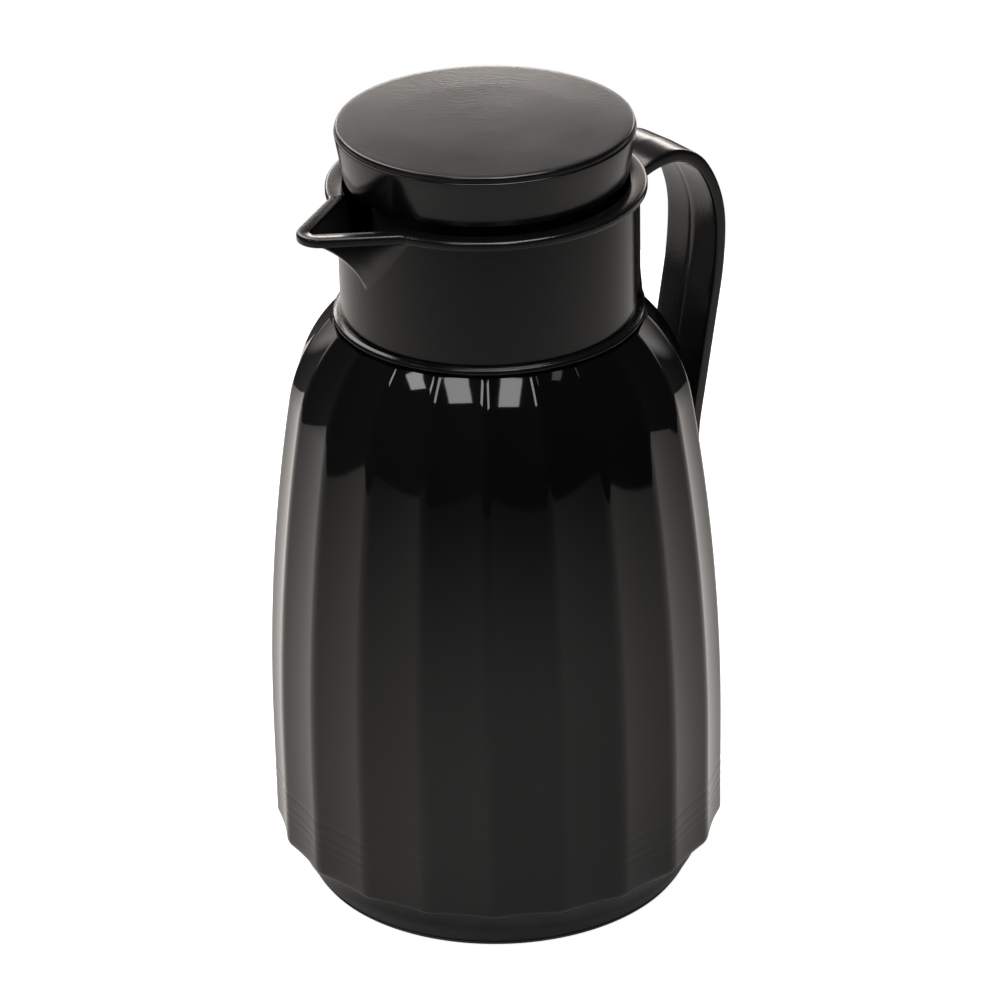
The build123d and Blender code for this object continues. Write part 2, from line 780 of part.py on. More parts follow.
# ---------------------------------------------------------------- lid
lid_slope = (lid_rim_radius - lid_bottom_radius) / (lid_rim_height - lid_bottom)
deck_top = lid_bottom + lid_deck
inner_foot_radius = lid_bottom_radius + lid_slope * lid_deck - lid_wall
inner_rim_radius = lid_rim_radius - lid_wall
with BuildPart() as lid_skirt:
    with BuildSketch(Plane.XZ):
        with BuildLine():
            Polyline(
                (0, lid_bottom),
                (lid_bottom_radius, lid_bottom),
                (lid_rim_radius, lid_rim_height),
                (inner_rim_radius, lid_rim_height),
                (inner_foot_radius, deck_top),
                (0, deck_top),
                close=True,
            )
        make_face()
    revolve(axis=Axis.Z)
    # hinge knuckle with a heel that stops the open lid on the flange
    heel_face = hinge_lift - heel_clearance
    heel_turn = lid_opening - 90
    with BuildSketch(Plane.XZ):
        with Locations((hinge_reach, hinge_height)):
            Circle(knuckle_radius)
        with BuildLine():
            Polyline(
                (lid_bottom_radius - 0.7, lid_bottom),
                (hinge_reach - 1.5, hinge_height - 0.85 * knuckle_radius),
                (hinge_reach, hinge_height),
                (hinge_reach, hinge_height + knuckle_radius),
                (lid_bottom_radius - 0.1, hinge_height + knuckle_radius),
                close=True,
            )
        make_face()
        with Locations(Location((hinge_reach, hinge_height), heel_turn)):
            with Locations((heel_face / 2, (heel_trail - heel_lead) / 2)):
                Rectangle(heel_face, heel_trail + heel_lead)
    extrude(amount=knuckle_width / 2, both=True)
    with BuildSketch(Plane.XZ):
        with Locations((hinge_reach, hinge_height)):
            Circle(pin_radius + pin_clearance)
    extrude(amount=knuckle_width, both=True, mode=Mode.SUBTRACT)
    # the knuckle stays out of the lid's hollow
    with BuildSketch(Plane.XY.offset(deck_top)):
        Circle(inner_foot_radius)
    extrude(amount=lid_rim_height - deck_top, mode=Mode.SUBTRACT)
    with BuildSketch(Plane.XY.offset(deck_top)):
        with PolarLocations(plug_screw_circle, plug_screw_count):
            Circle(plug_screw_radius + thread_clearance)
    extrude(amount=-lid_deck, mode=Mode.SUBTRACT)

disc_radius = lid_rim_radius - lid_disc_ledge
spigot_outer = inner_rim_radius - lid_spigot_clearance - lid_slope * lid_spigot_depth
disc_edge = lid_rim_height + lid_disc_band
with BuildPart() as lid_top_disc:
    with BuildSketch(Plane.XZ):
        with BuildLine():
            Polyline(
                (0, lid_rim_height),
                (spigot_outer - lid_wall, lid_rim_height),
                (spigot_outer - lid_wall, lid_rim_height - lid_spigot_depth),
                (spigot_outer, lid_rim_height - lid_spigot_depth),
                (spigot_outer, lid_rim_height),
                (disc_radius, lid_rim_height),
                (disc_radius, disc_edge),
            )
            TangentArc((0, disc_edge + lid_disc_crown), (disc_radius, disc_edge), tangent=(1, 0))
            Line((0, disc_edge + lid_disc_crown), (0, lid_rim_height))
        make_face()
        fillet(vertices().group_by(Axis.X)[-1].sort_by(Axis.Y)[-1], lid_disc_round)
    revolve(axis=Axis.Z)

with BuildPart() as lid_foam:
    with BuildSketch(Plane.XY.offset(deck_top)):
        Circle(spigot_outer - lid_wall - foam_clearance)
    extrude(amount=lid_rim_height - deck_top - foam_clearance)
    with BuildSketch(Plane.XY.offset(deck_top)):
        with PolarLocations(plug_screw_circle, plug_screw_count):
            Circle(plug_screw_head_radius + foam_screw_room)
    extrude(amount=plug_screw_head_height + foam_screw_room, mode=Mode.SUBTRACT)

# ---------------------------------------------------------------- stopper
plug_shoulder = funnel_height(plug_foot_radius) + plug_foot_lift
plug_bend = lid_bottom - plug_straight
spigot_end = funnel_lip + spigot_lift
lip_top = spigot_end + plug_lip_height
with BuildPart() as stopper_plug:
    with BuildSketch(Plane.XZ):
        with BuildLine():
            Polyline(
                (plug_radius, lid_bottom),
                (plug_radius, plug_bend),
                (plug_foot_radius, plug_shoulder),
                (plug_spigot_radius, plug_shoulder),
                (plug_spigot_radius, lip_top),
                (plug_spigot_radius + plug_lip, lip_top),
                (plug_spigot_radius + plug_lip, spigot_end),
                (0, spigot_end),
                (0, spigot_end + plug_wall),
                (plug_spigot_radius - plug_wall, spigot_end + plug_wall),
                (plug_spigot_radius - plug_wall, plug_shoulder + plug_wall),
                (plug_foot_radius - plug_wall, plug_shoulder + plug_wall),
                (plug_radius - plug_wall, plug_bend),
                (plug_radius - plug_wall, lid_bottom - plug_rim_thickness),
                (plug_radius - plug_rim_width, lid_bottom - plug_rim_thickness),
                (plug_radius - plug_rim_width, lid_bottom),
                close=True,
            )
        make_face()
    revolve(axis=Axis.Z)
    with BuildSketch(Plane.XY.offset(deck_top)):
        with PolarLocations(plug_screw_circle, plug_screw_count):
            Circle(plug_screw_radius)
    extrude(amount=-plug_screw_length, mode=Mode.SUBTRACT)

with BuildPart() as plug_core:
    with BuildSketch(Plane.XZ):
        with BuildLine():
            core_top = lid_bottom - plug_rim_thickness - foam_clearance
            core_inset = plug_wall + foam_clearance
            Polyline(
                (0, spigot_end + core_inset),
                (plug_spigot_radius - core_inset, spigot_end + core_inset),
                (plug_spigot_radius - core_inset, plug_shoulder + core_inset),
                (plug_foot_radius - core_inset, plug_shoulder + core_inset),
                (plug_radius - core_inset, plug_bend),
                (plug_radius - core_inset, core_top),
                (0, core_top),
                close=True,
            )
        make_face()
    revolve(axis=Axis.Z)

with BuildPart() as plug_seal:
    with BuildSketch(Plane.XZ):
        with BuildLine():
            seal_nose = plug_spigot_radius + seal_nose_width
            Polyline(
                (plug_spigot_radius, lip_top),
                (plug_spigot_radius + plug_lip, lip_top),
                (seal_nose, funnel_height(seal_nose) + seal_clearance),
                (seal_radius, funnel_height(seal_radius) + seal_clearance),
                (seal_radius, plug_shoulder),
                (plug_spigot_radius, plug_shoulder),
                close=True,
            )
        make_face()
    revolve(axis=Axis.Z)

with BuildPart() as plug_screws:
    with BuildSketch(Plane.XY.offset(deck_top)):
        with PolarLocations(plug_screw_circle, plug_screw_count):
            Circle(plug_screw_head_radius)
    extrude(amount=plug_screw_head_height)
    with BuildSketch(Plane.XY.offset(deck_top)):
        with PolarLocations(plug_screw_circle, plug_screw_count):
            Circle(plug_screw_radius)
    extrude(amount=-plug_screw_length)

# ---------------------------------------------------------------- export
outer_shell.part.label = "outer_shell"
export_step(outer_shell.part, "parts/outer_shell.step")
base_cap.part.label = "base_cap"
export_step(base_cap.part, "parts/base_cap.step")
liner_outer_glass.part.label = "liner_outer_glass"
export_step(liner_outer_glass.part, "parts/liner_outer_glass.step")
liner_inner_glass.part.label = "liner_inner_glass"
export_step(liner_inner_glass.part, "parts/liner_inner_glass.step")
liner_pads.part.label = "liner_pads"
export_step(liner_pads.part, "parts/liner_pads.step")
liner_cushion.part.label = "liner_cushion"
export_step(liner_cushion.part, "parts/liner_cushion.step")
centring_ring.part.label = "centring_ring"
export_step(centring_ring.part, "parts/centring_ring.step")
mouth_seal.part.label = "mouth_seal"
export_step(mouth_seal.part, "parts/mouth_seal.step")
spout_collar.part.label = "spout_collar"
export_step(spout_collar.part, "parts/spout_collar.step")
neck_ring.part.label = "neck_ring"
export_step(neck_ring.part, "parts/neck_ring.step")
handle.part.label = "handle"
export_step(handle.part, "parts/handle.step")
handle_screws.part.label = "handle_screws"
export_step(handle_screws.part, "parts/handle_screws.step")
hinge_pin.part.label = "hinge_pin"
export_step(hinge_pin.part, "parts/hinge_pin.step")
lid_skirt.part.label = "lid_skirt"
export_step(lid_skirt.part, "parts/lid_skirt.step")
lid_top_disc.part.label = "lid_top_disc"
export_step(lid_top_disc.part, "parts/lid_top_disc.step")
lid_foam.part.label = "lid_foam"
export_step(lid_foam.part, "parts/lid_foam.step")
stopper_plug.part.label = "stopper_plug"
export_step(stopper_plug.part, "parts/stopper_plug.step")
plug_core.part.label = "plug_core"
export_step(plug_core.part, "parts/plug_core.step")
plug_seal.part.label = "plug_seal"
export_step(plug_seal.part, "parts/plug_seal.step")
plug_screws.part.label = "plug_screws"
export_step(plug_screws.part, "parts/plug_screws.step")
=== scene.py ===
# %% [markdown]
# # A thermal carafe with a flip lid
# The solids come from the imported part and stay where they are. This file gives every visible piece its
# finish, and models again the pieces whose curves want to be finer than the solids' facets.
# Everything is in the part's own frame: the origin is the middle of the standing face, the handle points
# to +X and the spout to -X. Shapes are worked out in millimetres and turned to metres at the very end.

import json
import math

import bpy
import numpy as np
from mathutils import Matrix, Vector


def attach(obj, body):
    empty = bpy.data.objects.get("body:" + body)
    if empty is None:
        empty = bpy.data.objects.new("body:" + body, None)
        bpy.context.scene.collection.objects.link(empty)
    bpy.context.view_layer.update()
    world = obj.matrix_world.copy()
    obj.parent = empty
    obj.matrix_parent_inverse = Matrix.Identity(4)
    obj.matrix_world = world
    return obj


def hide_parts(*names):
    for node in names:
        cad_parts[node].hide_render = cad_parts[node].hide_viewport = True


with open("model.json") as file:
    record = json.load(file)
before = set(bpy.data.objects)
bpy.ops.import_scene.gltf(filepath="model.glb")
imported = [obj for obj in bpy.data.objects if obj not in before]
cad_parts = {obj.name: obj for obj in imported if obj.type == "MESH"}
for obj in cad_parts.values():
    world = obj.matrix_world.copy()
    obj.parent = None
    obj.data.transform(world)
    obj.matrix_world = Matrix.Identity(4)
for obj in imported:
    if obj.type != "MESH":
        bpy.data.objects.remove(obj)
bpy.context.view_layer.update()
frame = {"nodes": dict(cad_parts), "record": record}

# %% [markdown]
# ## From a grid of points to a mesh
# Nearly every moulded piece here is a surface with two parameters: how far along a profile, and how far
# round. One helper takes such a grid and makes the mesh. Blender could spin or loft a curve with
# modifiers, but with whole arrays the same few lines make round, fluted and beaked forms alike.

# %% grid helper
MM = 0.001


def lay_grid(name, points, closed_profile=True, crease=32.0):
    """Mesh from points[row, column] in mm: every quad joins neighbours in row and column.

    Columns always close on themselves. Rows close too when closed_profile is true; otherwise the
    first and last rows lie on the axis, and each becomes one point with triangles round it.
    If the volume, the sum of a.(b x c)/6 over the triangles, is negative, the faces are turned over.
    Edges that turn by more than crease, in degrees, stay hard.
    """
    rows, columns = points.shape[:2]
    index = np.arange(rows * columns).reshape(rows, columns)
    if not closed_profile:
        index[0] = index[0, 0]
        index[-1] = index[-1, 0]
    beside = np.roll(index, -1, axis=1)
    above = np.roll(index, -1, axis=0)
    across = np.roll(beside, -1, axis=0)
    last = rows if closed_profile else rows - 1
    quads = np.stack([index[:last], beside[:last], across[:last], above[:last]], -1).reshape(-1, 4)
    lower_pole = quads[:, 0] == quads[:, 1]
    upper_pole = quads[:, 2] == quads[:, 3]
    full = quads[~(lower_pole | upper_pole)]
    fans = np.concatenate([quads[lower_pole][:, [0, 2, 3]], quads[upper_pole][:, [0, 1, 2]]])
    flat = points.reshape(-1, 3)

    def volume(tri):
        a, b, c = flat[tri[:, 0]], flat[tri[:, 1]], flat[tri[:, 2]]
        return float(np.einsum("ij,ij->", a, np.cross(b, c)) / 6)

    inside = volume(full[:, [0, 1, 2]]) + volume(full[:, [0, 2, 3]]) + volume(fans)
    if inside < 0:
        full, fans = full[:, ::-1], fans[:, ::-1]
    used, loops = np.unique(np.concatenate([full.ravel(), fans.ravel()]), return_inverse=True)
    mesh = bpy.data.meshes.new(name)
    mesh.vertices.add(len(used))
    mesh.vertices.foreach_set("co", (flat[used] * MM).astype(np.float32).ravel())
    mesh.loops.add(len(loops))
    mesh.loops.foreach_set("vertex_index", loops.astype(np.int32))
    starts = np.concatenate([np.arange(len(full)) * 4, len(full) * 4 + np.arange(len(fans)) * 3])
    mesh.polygons.add(len(starts))
    mesh.polygons.foreach_set("loop_start", starts.astype(np.int32))
    mesh.update(calc_edges=True)
    mesh.validate()
    mesh.shade_smooth()
    mesh.set_sharp_from_angle(angle=math.radians(crease))
    piece = bpy.data.objects.new(name, mesh)
    bpy.context.scene.collection.objects.link(piece)
    print(f"{name}: {len(starts)} faces, {abs(inside) / 1000:.1f} cm3")
    return piece


# %% [markdown]
# ## Rounded profiles
# A moulded edge is never knife sharp: it carries a small round that catches a thin line of light. A
# profile is written as its corners, each with a radius, and the helper puts an arc in each corner. A
# Bevel modifier could do it on the mesh, but in the profile the radius is exact and costs few faces.

# %% profile helper


def rounded(corners, step=3.0, closed=True):
    """Profile through (r, z, round) corners: each corner becomes an arc tangent to both its sides.

    An arc of radius q starts q*tan(turn/2) before the corner. The points along it mix the two tangent
    points as sin((1-t)*turn) and sin(t*turn), weighted about the arc's centre. step is the straight
    length in mm after which a long side gets a point in between.
    """
    corners = np.array([c if len(c) == 3 else (*c, 0.0) for c in corners], float)
    count = len(corners)
    line = []
    for k in range(count):
        here, q = corners[k, :2], corners[k, 2]
        if q == 0 or (not closed and k in (0, count - 1)):
            line.append(here[None])
            continue
        back = corners[k - 1, :2] - here
        ahead = corners[(k + 1) % count, :2] - here
        back /= np.linalg.norm(back)
        ahead /= np.linalg.norm(ahead)
        turn = math.pi - math.acos(np.clip(back @ ahead, -1, 1))
        reach = q * math.tan(turn / 2)
        middle = (back + ahead) / np.linalg.norm(back + ahead)
        centre = here + middle * q / math.cos(turn / 2)
        bend = max(2, int(math.degrees(turn) / 11))
        t = np.linspace(0, 1, bend + 1)[:, None]
        start, end = here + back * reach - centre, here + ahead * reach - centre
        line.append(centre + (start * np.sin((1 - t) * turn) + end * np.sin(t * turn)) / math.sin(turn))
    line = np.concatenate(line)
    follow = np.roll(line, -1, axis=0) if closed else line[1:]
    begin = line if closed else line[:-1]
    pieces = np.maximum(1, np.ceil(np.linalg.norm(follow - begin, axis=1) / step).astype(int))
    owner = np.repeat(np.arange(len(pieces)), pieces)
    part = np.arange(len(owner)) - np.repeat(np.cumsum(pieces) - pieces, pieces)
    share = (part / pieces[owner])[:, None]
    dense = begin[owner] * (1 - share) + follow[owner] * share
    return dense if closed else np.concatenate([dense, line[-1:]])


def stations(start, *steps):
    """Values from start through each (end, count): count even ones with both ends, shared ends once."""
    line = [np.array([start], float)]
    for end, count in steps:
        line.append(np.linspace(line[-1][-1], end, count)[1:])
    return np.concatenate(line)


def turned(name, corners, columns=192, closed=True, step=3.0, crease=32.0):
    """Turned piece: the rounded profile (r, z) carried round the axis, (r cos a, r sin a, z)."""
    profile = rounded(corners, step=step, closed=closed)
    angle = np.linspace(0, 2 * np.pi, columns, endpoint=False)
    radius, height = profile[:, :1], profile[:, 1:]
    points = np.stack([radius * np.cos(angle), radius * np.sin(angle), height + 0 * angle], -1)
    return lay_grid(name, points, closed_profile=closed, crease=crease)


# %% [markdown]
# ## The fluted shell
# The glossy jacket is one thin moulding: twenty-one shallow flutes run from its lower lip up over the barrel
# and the shoulder to a flat top, and a plain tube stands on that for the collar's thread. A section
# across one flute is a hollow arc between two small rounded ridges, so the whole shell is that section
# scaled by the barrel's radius at each height. Written as a function of angle and height it stays exact
# however fine the mesh is, and the ridges keep their tight highlight.

# %% fluted section
FLUTES = 21
HALF_FLUTE = math.pi / FLUTES
FIRST_RIDGE = HALF_FLUTE  # the handle stands behind a flute, and a ridge runs under the spout
BELLY = 78.2
RIDGE_ROUND = 9.0
HOLLOW = 0.75


def flute_section(samples_dish=9, samples_ridge=6):
    """Angles round the jug and the section's radius at each, for a belly radius of BELLY.

    The dish is the outer arc of a circle of radius rho centred at c beyond the shell, so
    r = c cos(a) - sqrt(rho^2 - c^2 sin^2(a)). The ridge is a circle of RIDGE_ROUND that touches both
    neighbouring dishes from inside: r = d cos(b) + sqrt(RIDGE_ROUND^2 - d^2 sin^2(b)), b from the ridge.
    """
    chord = BELLY * math.sin(HALF_FLUTE)
    floor = BELLY * math.cos(HALF_FLUTE) - HOLLOW
    rho = (chord**2 + HOLLOW**2) / (2 * HOLLOW)
    c = floor + rho
    d = c * math.cos(HALF_FLUTE) - math.sqrt((rho + RIDGE_ROUND) ** 2 - (c * math.sin(HALF_FLUTE)) ** 2)
    ridge_centre = d * np.array([math.cos(HALF_FLUTE), math.sin(HALF_FLUTE)])
    touch = np.array([c, 0]) + (ridge_centre - [c, 0]) * rho / (rho + RIDGE_ROUND)
    edge = math.atan2(touch[1], touch[0])
    half = np.concatenate(
        [np.linspace(0, edge, samples_dish)[:-1], np.linspace(edge, HALF_FLUTE, samples_ridge + 1)]
    )
    a = np.concatenate([-half[:0:-1], half[:-1]])
    dish = c * np.cos(a) - np.sqrt(np.maximum(rho**2 - (c * np.sin(a)) ** 2, 0))
    b = HALF_FLUTE - np.abs(a)
    ridge = d * np.cos(b) + np.sqrt(np.maximum(RIDGE_ROUND**2 - (d * np.sin(b)) ** 2, 0))
    radius = np.where(np.abs(a) <= edge, dish, ridge)
    turns = FIRST_RIDGE + HALF_FLUTE + np.arange(FLUTES)[:, None] * 2 * HALF_FLUTE
    return (turns + a).ravel(), np.tile(radius, FLUTES)


flute_angle, flute_radius = flute_section()
print("points round the shell:", len(flute_angle), "ridge top:", round(flute_radius.max(), 3))

# %% shell profile
STRAIGHT_TO = 55.0
BARREL = 737.34
SHOULDER_FROM = 178.0
SHOULDER = 56.0
SHELL_BOTTOM = 17.0
SHELL_LIP = 3.0
DECK = 207.2
COLLAR_BORE = 47.4
COLLAR_RADIUS = 49.4
THREAD_GAP = 0.15
NECK_WALL = 2.8
SHELL_WALL = 2.4
EDGE_BREAK = 0.4  # small bevel on the neck's rim and the foot's inner edge
NECK_OUTER = COLLAR_BORE - THREAD_GAP
NECK_INNER = NECK_OUTER - NECK_WALL
NECK_TOP = 221.03
JOINT_RADIUS = 72.7
JOINT_TOP = 43.0
SKIN = BELLY - flute_radius.min() + SHELL_WALL  # from the ridges in to the smooth inside


def ridge_radius(z):
    """Radius over the ridges: straight up to STRAIGHT_TO, a long barrel arc, then a shoulder arc."""
    bow = np.arcsin(np.clip(z - STRAIGHT_TO, 0, SHOULDER_FROM - STRAIGHT_TO) / BARREL)
    barrel = BELLY - BARREL * (1 - np.cos(bow))
    rise = np.clip(z - SHOULDER_FROM, 0, None) / SHOULDER
    return barrel - SHOULDER * (np.cos(bow) - np.cos(np.arcsin(np.sin(bow) + rise)))


SINKS = ((28.0, 0.6), (31.2, 1.0), (34.4, 0.8), (39.0, 1.0))  # height, share of SINK_DEPTH
SINK_DEPTH = 0.07
SINK_WIDTH = 0.7


def sink_line(z):
    """Faint dips where the wall shrinks over the base's thread: one narrow bell for each of SINKS."""
    return sum(
        SINK_DEPTH * depth * np.exp(-(((z - level) / SINK_WIDTH) ** 2)) for level, depth in SINKS
    )


# %% build the shell
lip_turn = np.linspace(-90, 0, 7)
lip_profile = np.stack(
    [
        BELLY - SHELL_LIP + SHELL_LIP * np.cos(np.radians(lip_turn)),
        SHELL_BOTTOM + SHELL_LIP + SHELL_LIP * np.sin(np.radians(lip_turn)),
    ],
    -1,
)
wall_z = stations(
    SHELL_BOTTOM + SHELL_LIP, (26, 4), (41, 31), (STRAIGHT_TO, 5), (SHOULDER_FROM, 30), (DECK, 22)
)[1:]
wall_profile = np.stack([ridge_radius(wall_z) - sink_line(wall_z), wall_z], -1)
inner_z = np.array([200.0, 190, 178, 160, 140, 120, 100, 80, 60, JOINT_TOP + 3])
outer = np.concatenate([lip_profile, wall_profile])
inner = np.array(
    [
        (NECK_OUTER + 2, DECK),
        (NECK_OUTER, DECK),
        (NECK_OUTER, NECK_TOP - EDGE_BREAK),
        (NECK_OUTER - EDGE_BREAK, NECK_TOP),
        (NECK_INNER, NECK_TOP),
        (NECK_INNER, DECK - SHELL_WALL),
        (ridge_radius(DECK) - SKIN, DECK - 3.84),
        *np.stack([ridge_radius(inner_z) - SKIN, inner_z], -1),
        (JOINT_RADIUS, JOINT_TOP),
        (JOINT_RADIUS, SHELL_BOTTOM + EDGE_BREAK),
        (JOINT_RADIUS + EDGE_BREAK, SHELL_BOTTOM),
    ]
)
profile = np.concatenate([outer, inner])
fluted = np.concatenate([np.ones(len(outer)), np.zeros(len(inner))])[:, None]
section = 1 + fluted * (flute_radius / BELLY - 1)
shell_r = profile[:, :1] * section
outer_shell = lay_grid(
    "jacket",
    np.stack(
        [shell_r * np.cos(flute_angle), shell_r * np.sin(flute_angle), profile[:, 1:] + 0 * shell_r], -1
    ),
    crease=40,
)

# %% [markdown]
# ## The collar with its beak
# Above the shell stands a plain tube with a thin flange round its mouth, and the flange runs out into a
# pointed beak that is carried by two faces meeting in a hollow keel. Seen from above, every level of it
# is a star shape: one radius for each direction. So the outside is the larger of two radii, the tube's
# and the wedge's, with a soft join between them, and the same wedge moved inwards cuts the channel.
# A boolean union would need clean-up at every seam; here the grid simply follows the form.

# %% beak helpers
FLANGE_RADIUS = 53.0
FLANGE_TOP = 255.1
FLANGE_UNDER = 252.1
COLLAR_BOTTOM = 210.3
SPOUT_REACH = 74.4
SPOUT_HALF = math.radians(32.5)
SPOUT_NOSE = 7.8
SPOUT_WALL = 1.9
KEEL_FOOT = 229.8
KEEL_TOP_REACH = 72.4
KEEL_RADIUS = 48.0
BEAK_HALF = (66.0, 33.0)  # half angle in degrees at the keel's foot and at its top
BEAK_NOSE = (1.2, 4.0)  # round of the keel's edge at its foot and at its top
BEAK_BLEND = 0.4
RIM_BLEND = 1.05
FLANGE_FILLET = 1.2
UNDER_ROUND = 0.5
RIM_ROUND = 1.1
MOUTH_START = 0.35
FUNNEL = (  # radius, height: the floor down to the pouring hole, back below it and out to the joint
    (COLLAR_BORE, 226.3),
    (25.3, 215.15),
    (25.0, 214.8),
    (25.0, 213.0),
    (32.0, 213.0),
    (COLLAR_BORE, 223.8),
    (COLLAR_BORE, COLLAR_BOTTOM),
)


def wedge(turn, reach, half, nose, inset=0.0):
    """Radius of a round-nosed wedge in each direction, turn measured from the spout.

    A side is the line r = A sin(h) / sin(h + turn) through the apex at A; the nose is the circle
    r = c cos(turn) + sqrt(n^2 - c^2 sin^2(turn)) that touches both sides.
    """
    turn = np.abs(turn)
    apex = reach + nose * (1 / np.sin(half) - 1) - inset / np.sin(half)
    n = np.maximum(nose - inset, 0.5)
    c = apex - n / np.sin(half)
    side = apex * np.sin(half) / np.sin(np.minimum(half + turn, np.pi / 2))
    tip = c * np.cos(turn) + np.sqrt(np.maximum(n**2 - (c * np.sin(turn)) ** 2, 0))
    return np.where(turn < np.arctan2(n * np.cos(half), c + n * np.sin(half)), tip, side)


def soft_larger(a, b, blend):
    """The larger of a and b, raised by h^2 blend/4 with h = max(blend - |a-b|, 0)/blend near the join."""
    h = np.maximum(blend - np.abs(a - b), 0) / blend
    return np.maximum(a, b) + h * h * blend / 4


def keel_reach(z):
    """Reach of the keel: an arc of KEEL_RADIUS, hollow from outside, from the tube up to the rim."""
    foot = np.array([COLLAR_RADIUS, KEEL_FOOT])
    top = np.array([KEEL_TOP_REACH, FLANGE_UNDER])
    chord = top - foot
    length = np.hypot(*chord)
    away = np.array([chord[1], -chord[0]]) / length
    centre = (foot + top) / 2 + away * math.sqrt(KEEL_RADIUS**2 - (length / 2) ** 2)
    return centre[0] - np.sqrt(KEEL_RADIUS**2 - (z - centre[1]) ** 2)


def beak(turn, z, inset=0.0):
    """The beak's faces at a height: half angle and nose change evenly from the keel's foot to its top."""
    level = np.clip((z - KEEL_FOOT) / (FLANGE_UNDER - KEEL_FOOT), 0, 1)
    half = np.radians(BEAK_HALF[0] + (BEAK_HALF[1] - BEAK_HALF[0]) * level)
    nose = BEAK_NOSE[0] + (BEAK_NOSE[1] - BEAK_NOSE[0]) * level
    return wedge(turn, keel_reach(np.clip(z, KEEL_FOOT, FLANGE_UNDER)), half, nose, inset)


# %% build the collar
turn = np.radians(stations(-180, (-42, 70), (-8, 69), (8, 49), (42, 69), (180, 70))[:-1])[None]
round_turn = 0 * turn  # added to a radius, it makes that radius the same in every direction
rim = soft_larger(FLANGE_RADIUS + round_turn, wedge(turn, SPOUT_REACH, SPOUT_HALF, SPOUT_NOSE), RIM_BLEND)
wall_z = np.concatenate(
    [[COLLAR_BOTTOM + 0.2], np.linspace(214, 226, 5), np.linspace(228, FLANGE_UNDER - FLANGE_FILLET, 47)]
)[:, None]
wall = np.where(wall_z > KEEL_FOOT, beak(turn, wall_z), 0)
wall = soft_larger(COLLAR_RADIUS + round_turn, wall, BEAK_BLEND)
flange_turn = np.radians(np.linspace(0, 90, 5)[1:])[:, None]
flange_out = soft_larger(
    COLLAR_RADIUS + FLANGE_FILLET * (1 - np.cos(flange_turn)),
    beak(turn, FLANGE_UNDER + 0 * flange_turn),
    BEAK_BLEND,
)
flange_z = FLANGE_UNDER - FLANGE_FILLET + FLANGE_FILLET * np.sin(flange_turn)
under_turn = np.radians(np.linspace(0, 90, 4))[:, None]
top_turn = np.radians(np.linspace(0, 90, 8))[:, None]
channel_z = np.linspace(FLANGE_TOP - MOUTH_START, KEEL_FOOT + SPOUT_WALL, 30)[:, None]
top_channel = wedge(turn, KEEL_TOP_REACH, math.radians(BEAK_HALF[1]), BEAK_NOSE[1], SPOUT_WALL)
channel = np.where(
    channel_z - SPOUT_WALL > FLANGE_UNDER,
    top_channel,
    beak(turn, channel_z - SPOUT_WALL, SPOUT_WALL),
)
mouth = np.maximum(COLLAR_BORE, channel)
mouth_edge = np.maximum(COLLAR_BORE, top_channel)
rows = [
    (COLLAR_RADIUS - 0.2 + round_turn, np.array([[COLLAR_BOTTOM]])),
    (wall, wall_z),
    (flange_out, flange_z),
    (
        rim - UNDER_ROUND + UNDER_ROUND * np.sin(under_turn),
        FLANGE_UNDER + UNDER_ROUND - UNDER_ROUND * np.cos(under_turn),
    ),
    (
        rim - RIM_ROUND + RIM_ROUND * np.cos(top_turn),
        FLANGE_TOP - RIM_ROUND + RIM_ROUND * np.sin(top_turn),
    ),
    (mouth_edge + 0.12, np.array([[FLANGE_TOP]])),
    (mouth_edge + 0.03, np.array([[FLANGE_TOP - 0.04]])),
    (mouth, channel_z),
]
rows += [(radius + round_turn, np.array([[height]])) for radius, height in FUNNEL]
collar_r = np.concatenate([np.broadcast_to(r, (len(z), turn.shape[1])) for r, z in rows])
collar_z = np.concatenate([np.broadcast_to(z, (len(z), turn.shape[1])) for r, z in rows])
collar = lay_grid(
    "collar", np.stack([-collar_r * np.cos(turn), -collar_r * np.sin(turn), collar_z], -1), crease=38
)

# %% [markdown]
# ## Turned pieces
# The base, the neck ring, the lid's skirt and top, and the stopper are all round, so each is a profile
# carried round the axis. Only the profile's corners and their small rounds differ from piece to piece.

# %% base, ring and lid
RING = 52.1
base = turned(
    "base_dish",
    [
        (0, 3.0),
        (57.6, 3.0, 0.5),
        (57.6, 0, 0.8),
        (64.1, 0, 1.6),
        (66.5, 1.7, 3),
        (71.1, 8.5, 60),
        (73.5, 17.0, 0.3),
        (72.55, 17.0, 0.2),
        (72.55, 41.0, 0.5),
        (69.95, 41.0, 0.5),
        (69.95, 17.0, 1),
        (61.5, 6.6, 1),
        (58.5, 5.6, 0.5),
        (0, 5.6),
    ],
    closed=False,
)
neck_ring = turned(
    "seat_ring",
    [
        (47.4, DECK),
        (RING - 1.2, DECK),
        (RING - 1.2, DECK + 0.7, 0.1),
        (RING - 0.45, DECK + 0.7, 0.3),
        (RING, DECK + 1.5, 0.6),
        (RING - 0.35, DECK + 2.45, 0.5),
        (RING - 1.4, COLLAR_BOTTOM - 0.12, 0.4),
        (COLLAR_RADIUS, COLLAR_BOTTOM, 0.02),
        (47.4, COLLAR_BOTTOM),
    ],
    step=1.0,
)
LID_BOTTOM = 258.0
LID_FOOT_RADIUS = 46.9
LID_RIM_RADIUS = 49.6
LID_RIM = 273.9
lid_skirt = turned(
    "lid_rim_wall",
    [
        (0, LID_BOTTOM),
        (LID_FOOT_RADIUS, LID_BOTTOM, 0.5),
        (LID_RIM_RADIUS, LID_RIM, 0.35),
        (LID_RIM_RADIUS - 2.0, LID_RIM, 0.2),
        (45.27, 260.2),
        (0, 260.2),
    ],
    closed=False,
)
DISC_EDGE = 275.9
